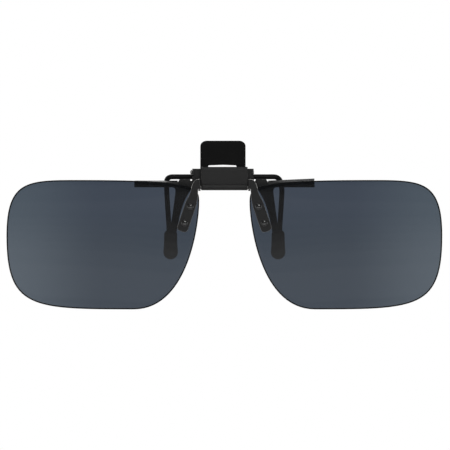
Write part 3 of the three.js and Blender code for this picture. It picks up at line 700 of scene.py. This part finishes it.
def headedEnd(rod):
    # Half a rod's profile, out to its domed head.
    start, radius, ease = rod["headFrom"], rod["headRadius"], rod["ease"]
    return [(start, rod["radius"]), (start, radius - ease), (start + ease, radius),
            *domeOver(start + 2 * ease, rod["headLength"] - 2 * ease, radius, 7)]


def plainEnd(rod):
    end, radius, ease = rod["end"], rod["radius"], rod["ease"]
    return [(end - ease, radius), (end, radius - ease), (end, 0)]


def toLeft(profile):
    return [(-along, radius) for along, radius in reversed(profile)]


axleBm = turned([*toLeft(headedEnd(axle)), *headedEnd(axle)], "X", 32)
bmesh.ops.translate(axleBm, verts=axleBm.verts[:], vec=(0, bracket["axleY"], bracket["axleZ"]))
finishMesh("flipAxle", axleBm, [springSteel], "lens_assembly", "flip_axle")

pinBm = turned([*toLeft(headedEnd(pin)), *plainEnd(pin)], "X", 32)
bmesh.ops.translate(pinBm, verts=pinBm.verts[:], vec=(clampShift, pin["y"], pin["z"]))
finishMesh("clampPin", pinBm, [springSteel], "clip", "clamp_pin")
print("axle and pin made")


clip = {
    "front": -1.8, "sheet": 0.8, "top": 23.4, "bottom": 17, "easing": 0.1,
    "earOuter": 9.55, "earBend": 0.85, "earBottom": 21.4, "earStep": 0.3, "earRadius": 0.9,
    "blockBottom": 20.5, "notchWidth": 0.6, "notchBottom": 19.6,
    "neckTop": 20.1, "neckDrop": 0.9, "neckFrom": 13.45, "neckTo": 14.05,
    "barBottom": 17.6, "barBend": 18.42, "barEnd": 28, "barBendRadius": 0.85,
    "ledgeAngle": 77, "ledgeBack": 2.2, "ledgeSlope": 0.229, "ledgeTwist": 0.65,
    "legTop": (13.9, 18), "legAim": (14.6, 11.5), "legEnd": (16.6, -1.5), "legSteps": 28,
    "legInner": 0.9, "legOuter": 1.1, "legFlare": 3.3, "fillet": 1.2, "filletSpread": 0.15,
}


def legEdges(point):
    # The inner and outer edge of a leg, from the top down; the inner one flares out into the web.
    size = clip
    line = curved(*(point(*size[key]) for key in ("legTop", "legAim", "legEnd")), size["legSteps"])
    inner, outer = [], []
    for i, (before, here, after) in enumerate(zip([line[0], *line], line, [*line[1:], line[-1]])):
        way = (after - before).normalized()
        outward = Vector((-way.z, 0, way.x))
        flare = size["legFlare"] * (1 - i / size["legSteps"]) ** 3
        inner.append(here - outward * (size["legInner"] + flare))
        outer.append(here + outward * size["legOuter"])
    return ([spot for spot in inner if spot.z < size["bottom"]],
            [spot for spot in outer if spot.z < size["barBottom"] - size["fillet"]])


def frameOutline(shift):
    # One half of the stamping, anticlockwise from its bottom's middle; shift moves the clamp's ear.
    size = clip

    def point(x, z):
        return Vector((x, size["front"], z))

    inner, outer = legEdges(point)
    slope = (inner[0].x - inner[1].x) / (inner[0].z - inner[1].z)
    foot = inner[0].x + slope * (size["bottom"] - inner[0].z)
    legSide = size["legTop"][0] + size["legOuter"]
    filletAim = point(legSide + size["filletSpread"], size["barBottom"])
    ear, neck, neckEnd = size["earOuter"] + shift, size["neckFrom"] + shift, size["neckTo"] + shift
    notchEnd, notchMiddle = ear + size["notchWidth"], ear + size["notchWidth"] / 2
    notchFoot = point(notchMiddle, size["notchBottom"])
    return [
        point(foot, size["bottom"]), *inner, *reversed(outer[1:]),
        *curved(outer[0], filletAim, point(legSide + size["fillet"], size["barBottom"]), 6),
        point(size["barEnd"], size["barBottom"]), point(size["barEnd"], size["barBend"]),
        point(neckEnd, size["barBend"]), point(neckEnd, size["neckTop"] - size["neckDrop"]),
        point(neck, size["neckTop"]),
        *curved(point(notchEnd, size["neckTop"]), point(notchEnd, size["notchBottom"]), notchFoot, 5),
        *curved(notchFoot, point(ear, size["notchBottom"]), point(ear, size["blockBottom"]), 5)[1:],
        point(ear, size["earBottom"] - size["earStep"]), point(ear - size["earBend"], size["earBottom"]),
        point(ear - size["earBend"], size["top"]),
    ]


def frameShape():
    size = clip
    bm = bmesh.new()
    left = [Vector((-spot.x, spot.y, spot.z)) for spot in reversed(frameOutline(-clampShift))]
    bm.faces.new([bm.verts.new(spot) for spot in (*frameOutline(clampShift), *left)])

    def edgeBetween(*ends):
        aims = [Vector((x, size["front"], z)) for x, z in ends]
        return bm.edges.get([min(bm.verts, key=lambda v: (v.co - aim).length) for aim in aims])

    for way in (1, -1):
        bendX = way * (size["earOuter"] - size["earBend"]) + clampShift
        edge = edgeBetween((bendX, size["earBottom"]), (bendX, size["top"]))
        edge = bendEdge(bm, edge, (bendX, size["front"] + size["earBend"], 0), (0, 0, 1), 90 * way, 6)
        addEye(bm, edge, arcPoints(pin["y"], pin["z"], size["earRadius"], -90, 90, 14))
        edge = edgeBetween((way * size["barEnd"], size["barBend"]),
                           (way * size["neckTo"] + clampShift, size["barBend"]))
        edge = bendEdge(bm, edge, (0, size["front"] + size["barBendRadius"], size["barBend"]), (1, 0, 0),
                        -size["ledgeAngle"], 6)
        back = pullEdges(bm, [edge], (0, size["ledgeBack"], size["ledgeBack"] * size["ledgeSlope"]))[0]
        if way > 0:  # this ledge's end is sprung up a little
            end = max(back.verts, key=lambda v: v.co.x)
            end.co.z += size["ledgeTwist"]
    thicken(bm, size["sheet"], size["easing"], 3)
    return bm


finishMesh("clipFrame", frameShape(), [enamels["blackSteel"]], "clip", "clip_frame")
print("clip frame made")


cover = {
    "end": 7.2, "sheet": 0.45, "top": 23.95, "face": -5.525, "back": -0.5, "topBend": 0.95,
    "rollRadius": 0.95, "rollFrom": -30, "rollTo": 104, "creaseZ": 18.57, "crease": 0.1,
    "cheekTop": 22.8, "cheekBottom": 19.2, "cheekBack": -1.85, "crimpInner": 4.9, "crimpOuter": 6.2,
    "crimpDrop": 1.1, "easing": 0.07,
}
leaf = {
    "width": 5, "thickness": 0.25, "easing": 0.04,
    "path": [(-2.1, 22.9), (-2.1, 20.8), (-4.95, 18.6), (-4.95, 17.57)], "bend": 0.8,
}


def coverProfile():
    # From the end of the roll round the axle, up the face and back over the top.
    size = cover
    face, axleY, axleZ = size["face"], bracket["axleY"], bracket["axleZ"]
    roll = arcPoints(axleY, axleZ, size["rollRadius"], size["rollFrom"], size["rollTo"] - 360, 26)
    crease = [roll[-1], (0, face, size["creaseZ"]), (0, face, size["cheekBottom"])]
    top = [(0, face, size["cheekTop"]), (0, face, size["top"]), (0, size["back"], size["top"])]
    return [*roll, *softened(crease, size["crease"], 4)[1:], *softened(top, size["topBend"], 7)]


def coverShape():
    size = cover
    bm = bmesh.new()
    edges = addPath(bm, [point + Vector((-size["end"], 0, 0)) for point in coverProfile()])
    sweepAlongX(bm, edges, [-size["end"], -size["crimpOuter"], -size["crimpInner"], 0,
                            size["crimpInner"], size["crimpOuter"], size["end"]])

    def rimEdges(test):
        return [e for e in bm.edges if len(e.link_faces) == 1 and all(test(v.co) for v in e.verts)]

    crimps = [e for e in rimEdges(lambda at: abs(at.y - size["back"]) < near)
              if size["crimpInner"] < abs(sum(v.co.x for v in e.verts) / 2) < size["crimpOuter"]]
    pullEdges(bm, crimps, (0, 0, -size["crimpDrop"]))
    for way in (1, -1):
        cheeks = rimEdges(lambda at: abs(at.x - way * size["end"]) < near and abs(at.y - size["face"]) < near
                          and size["cheekBottom"] - near < at.z < size["cheekTop"] + near)
        pullEdges(bm, cheeks, (0, size["cheekBack"] - size["face"], 0))
    thicken(bm, size["sheet"], size["easing"])
    return bm


def leafShape():
    bm = bmesh.new()
    side = leaf["width"] / 2
    path = softened([(-side, y, z) for y, z in reversed(leaf["path"])], leaf["bend"], 6)
    sweepAlongX(bm, addPath(bm, path), [-side, side])
    thicken(bm, leaf["thickness"], leaf["easing"])
    return bm


finishMesh("housingCover", coverShape(), [enamels["coverSteel"]], "clip", "housing_cover")
finishMesh("detentSpring", leafShape(), [springSteel], "clip", "detent_spring")
print("housing cover and leaf made")


coil = {"wire": 0.2, "radius": 0.8, "turns": 7, "half": 4.2, "leg": 0.9, "perTurn": 28}


def coilPoints():
    # Half a turn less than the whole number, so that one leg stands before the pin and one behind it.
    first, last = pi, 2 * pi * coil["turns"]
    steps = int(coil["perTurn"] * (last - first) / (2 * pi))
    line = []
    for i in range(steps + 1):
        angle = first + (last - first) * i / steps
        line.append(Vector((coil["half"] * (2 * i / steps - 1), pin["y"] + coil["radius"] * cos(angle),
                            pin["z"] + coil["radius"] * sin(angle))))
    up = Vector((0, 0, coil["leg"]))
    return [line[0] + up, *line, line[-1] + up]


finishWire("clampSpring", coilPoints(), coil["wire"], 3, [springSteel], "clip",
           "clamp_spring")
print("clamp spring made")


wire = {
    "radius": 0.8, "y": 2.8, "z": 20.9, "bendTrim": 1.9, "topOut": 17.55,
    "leg": [(16.9, 1.4, -2), (17.3, 1.4, 6.45), (17.65, 4.6, 11.3), (18, 4.6, 17.3)],
}
lever = {
    "front": 1.2, "sheet": 0.7, "curlRadius": 1.6, "curlFrom": 20, "bend": 23.9, "top": 32.15, "lean": 15,
    "bendTrim": 0.9, "tab": 7.05, "cornerAcross": 2.05, "cornerDown": 1.7,
    "shoulder": 8.55, "shoulderTop": 23.1, "shoulderBottom": 21.2, "waist": 5,
    "slot": 4.425, "slotShift": -0.2, "slotTop": 24.75, "slotBottom": 22, "slotCorner": 0.7,
    "earBottom": 21.4, "earRadius": 0.9, "easing": 0.12,
}


def leverHalf(way):
    # One side's flat outline, from the sheet's middle round the tab and back along the slot.
    size = lever

    def point(x, z):
        return Vector((x, size["front"], z))

    waist, shoulder, tab = way * size["waist"], way * size["shoulder"], way * size["tab"]
    tabCorner = point(way * (size["tab"] - size["cornerAcross"]), size["top"])
    slot = way * size["slot"] + size["slotShift"]
    return [
        point(0, wire["z"]), point(waist, wire["z"]), point(waist, size["shoulderBottom"]),
        point(shoulder, size["shoulderBottom"]), point(shoulder, size["earBottom"]),
        point(shoulder, size["shoulderTop"]), point(tab, size["shoulderTop"]),
        *roundCorner(point(tab, size["top"] - size["cornerDown"]), point(tab, size["top"]), tabCorner, 10),
        point(0, size["top"]), point(0, size["slotTop"]),
        *roundCorner(point(slot - way * size["slotCorner"], size["slotTop"]), point(slot, size["slotTop"]),
                     point(slot, size["slotTop"] - size["slotCorner"]), 6),
        point(slot, size["slotBottom"]), point(0, size["slotBottom"]),
    ]


def leanBack(bm):
    # Bends the flat sheet along its profile, with a cut at each step of the bend.
    size = lever
    slope = tan(radians(size["lean"]))
    topY = size["front"] + (size["top"] - size["bend"]) * slope
    bend = softened([(0, size["front"], size["slotBottom"]), (0, size["front"], size["bend"]),
                     (0, topY, size["top"])], size["bendTrim"], 6)[1:-1]
    for knot in bend:
        bmesh.ops.bisect_plane(bm, geom=bm.verts[:] + bm.edges[:] + bm.faces[:], dist=near, plane_co=knot,
                               plane_no=(0, 0, 1))
    for vert in bm.verts:
        if vert.co.z > bend[-1].z:
            vert.co.y = bend[-1].y + (vert.co.z - bend[-1].z) * slope
        elif vert.co.z > bend[0].z:
            vert.co.y = min(bend, key=lambda knot: abs(knot.z - vert.co.z)).y


def leverShape():
    # Two flat halves round the slot, bent back, then the curl round the wire and the ears round the pin.
    size = lever
    bm = bmesh.new()
    for way in (1, -1):
        bm.faces.new([bm.verts.new(point) for point in leverHalf(way)])
    mergeDoubles(bm)
    leanBack(bm)
    curl = arcPoints(wire["y"], wire["z"], size["curlRadius"], size["curlFrom"], -180, 22)
    edges = addPath(bm, [point - Vector((size["waist"], 0, 0)) for point in curl])
    sweepAlongX(bm, edges, [-size["waist"], 0, size["waist"]])
    mergeDoubles(bm)
    for way in (1, -1):
        shoulder = way * size["shoulder"]
        side = sorted((v for v in bm.verts if abs(v.co.x - shoulder) < near
                       and v.co.z > size["earBottom"] - near), key=lambda v: v.co.z)
        eye = [bm.verts.new((shoulder, spot.y, spot.z))
               for spot in arcPoints(pin["y"], pin["z"], size["earRadius"], 90, 270, 16)]
        bm.faces.new([*side, *eye])
    thicken(bm, size["sheet"], size["easing"], 3)
    bmesh.ops.translate(bm, verts=bm.verts[:], vec=(clampShift, 0, 0))
    return bm


def wirePoints():
    right = [*wire["leg"], (wire["topOut"] + clampShift, wire["y"], wire["z"])]
    left = [*wire["leg"], (wire["topOut"] - clampShift, wire["y"], wire["z"])]
    return softened([*right, *[(-x, y, z) for x, y, z in reversed(left)]], wire["bendTrim"], 12)


finishMesh("thumbLever", leverShape(), [enamels["tabSteelShaded"]], "rear_jaw", "thumb_lever")
finishWire("rearWire", wirePoints(), wire["radius"], 7, [enamels["wireSteel"]], "rear_jaw",
           "rear_wire")
print("lever and wire made")


tip = {
    "x": 16.7, "frontY": -1.4, "rearY": 1.4, "width": 4.5, "waist": 4, "above": 4.35, "below": 4.8,
    "thickness": 2.5, "edge": 0.62, "shoulderDown": 1.3, "shoulderAcross": 1.5,
}


def tipShape(middleY):
    # A block with a round foot, a slight waist and rounded shoulders, softened all over.
    size = tip
    half, waist = size["width"] / 2, size["waist"] / 2
    roundZ, front = half - size["below"], middleY - size["thickness"] / 2
    top, low = size["above"], size["above"] - size["shoulderDown"]
    inner, aim = waist - size["shoulderAcross"], (low + roundZ) / 2

    def point(x, z):
        return Vector((size["x"] + x, front, z))

    turns = [radians(turn) for turn in range(-180, 1, 12)]
    foot = [point(half * cos(turn), roundZ + half * sin(turn)) for turn in turns]
    outline = [
        *foot, *curved(foot[-1], point(waist, aim), point(waist, low), 8)[1:],
        *roundCorner(point(waist, low), point(waist, top), point(inner, top), 6)[1:],
        *roundCorner(point(-inner, top), point(-waist, top), point(-waist, low), 6)[:-1],
        *curved(point(-waist, low), point(-waist, aim), foot[0], 8)[:-1],
    ]
    bm = bmesh.new()
    face = bm.faces.new([bm.verts.new(spot) for spot in outline])
    made = bmesh.ops.extrude_face_region(bm, geom=[face])["geom"]
    bmesh.ops.translate(bm, verts=[v for v in made if isinstance(v, bmesh.types.BMVert)],
                        vec=(0, size["thickness"], 0))
    bmesh.ops.recalc_face_normals(bm, faces=bm.faces[:])
    easeEdges(bm, size["edge"], 6, 60)
    return bm


finishPair("frontTip", lambda: tipShape(tip["frontY"]), [tipRubber], "clip")
finishPair("rearTip", lambda: tipShape(tip["rearY"]), [tipRubber], "rear_jaw")
print("tips made")


stage = {
    "background": 1.0, "surround": 0.13, "distance": 2.5, "fieldWidth": 0.1396, "sensor": 36,
    "aimX": 0.00019, "aimZ": 0.0059, "lensPlane": -0.006,
}
floor = {
    "z": -0.085, "back": 0.4, "front": -0.4, "side": 0.4, "middle": 0.05, "fadeFrom": 0.14, "fadeTo": 0.34,
    "dark": (0.86, 0.86, 0.86), "light": (0.9, 0.9, 0.9), "mottle": 40, "roughness": 0.9, "glow": 0.5,
}


def makePaper(look):
    # Pale paper that glows a little to the camera, and thins out towards the floor's edges.
    material, tree, shader = startMaterial("palePaper", {"Roughness": look["roughness"]})
    coords = objectCoords(tree)
    paper = mixColours(tree, noiseNode(tree, coords, look["mottle"], 4), look["dark"], look["light"])
    tree.links.new(paper, shader.inputs["Base Color"])
    tree.links.new(paper, shader.inputs["Emission Color"])
    seen = addNode(tree, "ShaderNodeLightPath").outputs["Is Camera Ray"]
    tree.links.new(mathNode(tree, "MULTIPLY", seen, look["glow"]), shader.inputs["Emission Strength"])
    away = addNode(tree, "ShaderNodeVectorMath", {0: coords, 1: (0, look["middle"], look["z"])},
                   operation="DISTANCE").outputs["Value"]
    faded = smoothStep(tree, away, look["fadeFrom"], look["fadeTo"])
    tree.links.new(mathNode(tree, "SUBTRACT", 1, faded), shader.inputs["Alpha"])
    return material


def makeFloor():
    bm = bmesh.new()
    bmesh.ops.create_grid(bm, x_segments=2, y_segments=2, size=1)
    deep = (floor["back"] - floor["front"]) / 2
    bmesh.ops.scale(bm, vec=(floor["side"], deep, 1), verts=bm.verts[:])
    bmesh.ops.translate(bm, verts=bm.verts[:], vec=(0, floor["front"] + deep, floor["z"]))
    mesh = bpy.data.meshes.new("floor")
    bm.to_mesh(mesh)
    bm.free()
    mesh.materials.append(makePaper(floor))
    sheet = bpy.data.objects.new("floor", mesh)
    scene.collection.objects.link(sheet)


def makeWorld():
    # White behind everything, and a dimmer, even surround for light and reflections.
    world = bpy.data.worlds.new("studio")
    scene.world = world
    world.use_nodes = True
    tree = world.node_tree
    seen = tree.nodes["Background"]
    seen.inputs["Color"].default_value = (1, 1, 1, 1)
    rays = addNode(tree, "ShaderNodeLightPath")
    direct = mathNode(tree, "MAXIMUM", rays.outputs["Is Camera Ray"], rays.outputs["Is Transmission Ray"])
    strength = rangeNode(tree, direct, 0, 1, stage["surround"], stage["background"])
    tree.links.new(strength, seen.inputs["Strength"])


lamps = {
    "keyAbove": {"at": (0.12, -0.88, 0.46), "size": (0.24, 0.24), "power": 1.1},
    "topBox": {"at": (0, -0.15, 1.3), "size": (1.2, 0.5), "power": 2.3},
    "sideRight": {"at": (1.2, -0.25, 0.1), "size": (0.9, 0.9), "power": 3.2},
    "sideLeft": {"at": (-1.2, -0.25, 0.1), "size": (0.9, 0.9), "power": 3.2},
    "backBox": {"at": (0.3, 2, 0.8), "size": (2.2, 1.2), "power": 16},
}
# The front light is a stack of wide boxes with one foot, so that it fades towards its top.
frontStack = {
    "y": -2.9, "bottom": -0.8, "tops": [-0.3, -0.2, -0.15, -0.1, -0.05, 0, 0.1, 0.2], "width": 3.2,
    "radiance": 0.125,
}
for step, top in enumerate(frontStack["tops"]):
    tall = top - frontStack["bottom"]
    lamps[f"front{step}"] = {
        "at": (0, frontStack["y"], (top + frontStack["bottom"]) / 2), "size": (frontStack["width"], tall),
        "power": frontStack["radiance"] * pi * frontStack["width"] * tall,
    }


def makeLamp(name, lamp):
    light = bpy.data.lights.new(name, "AREA")
    light.shape = "RECTANGLE"
    light.size, light.size_y = lamp["size"]
    light.energy = lamp["power"]
    holder = bpy.data.objects.new(name, light)
    scene.collection.objects.link(holder)
    holder.location = lamp["at"]
    holder.rotation_euler = (-Vector(lamp["at"])).to_track_quat("-Z", "Y").to_euler()
    holder.visible_camera = False
    holder.visible_transmission = False


def makeCamera():
    camera = bpy.data.cameras.new("camera")
    camera.sensor_width = stage["sensor"]
    camera.lens = stage["sensor"] * stage["distance"] / stage["fieldWidth"]
    holder = bpy.data.objects.new("camera", camera)
    scene.collection.objects.link(holder)
    holder.location = (stage["aimX"], stage["lensPlane"] - stage["distance"], stage["aimZ"])
    holder.rotation_euler = (radians(90), 0, 0)
    scene.camera = holder


makeFloor()
makeWorld()
for lampName, lampFacts in lamps.items():
    makeLamp(lampName, lampFacts)
makeCamera()
scene.view_settings.view_transform = "Standard"
print("stage ready")
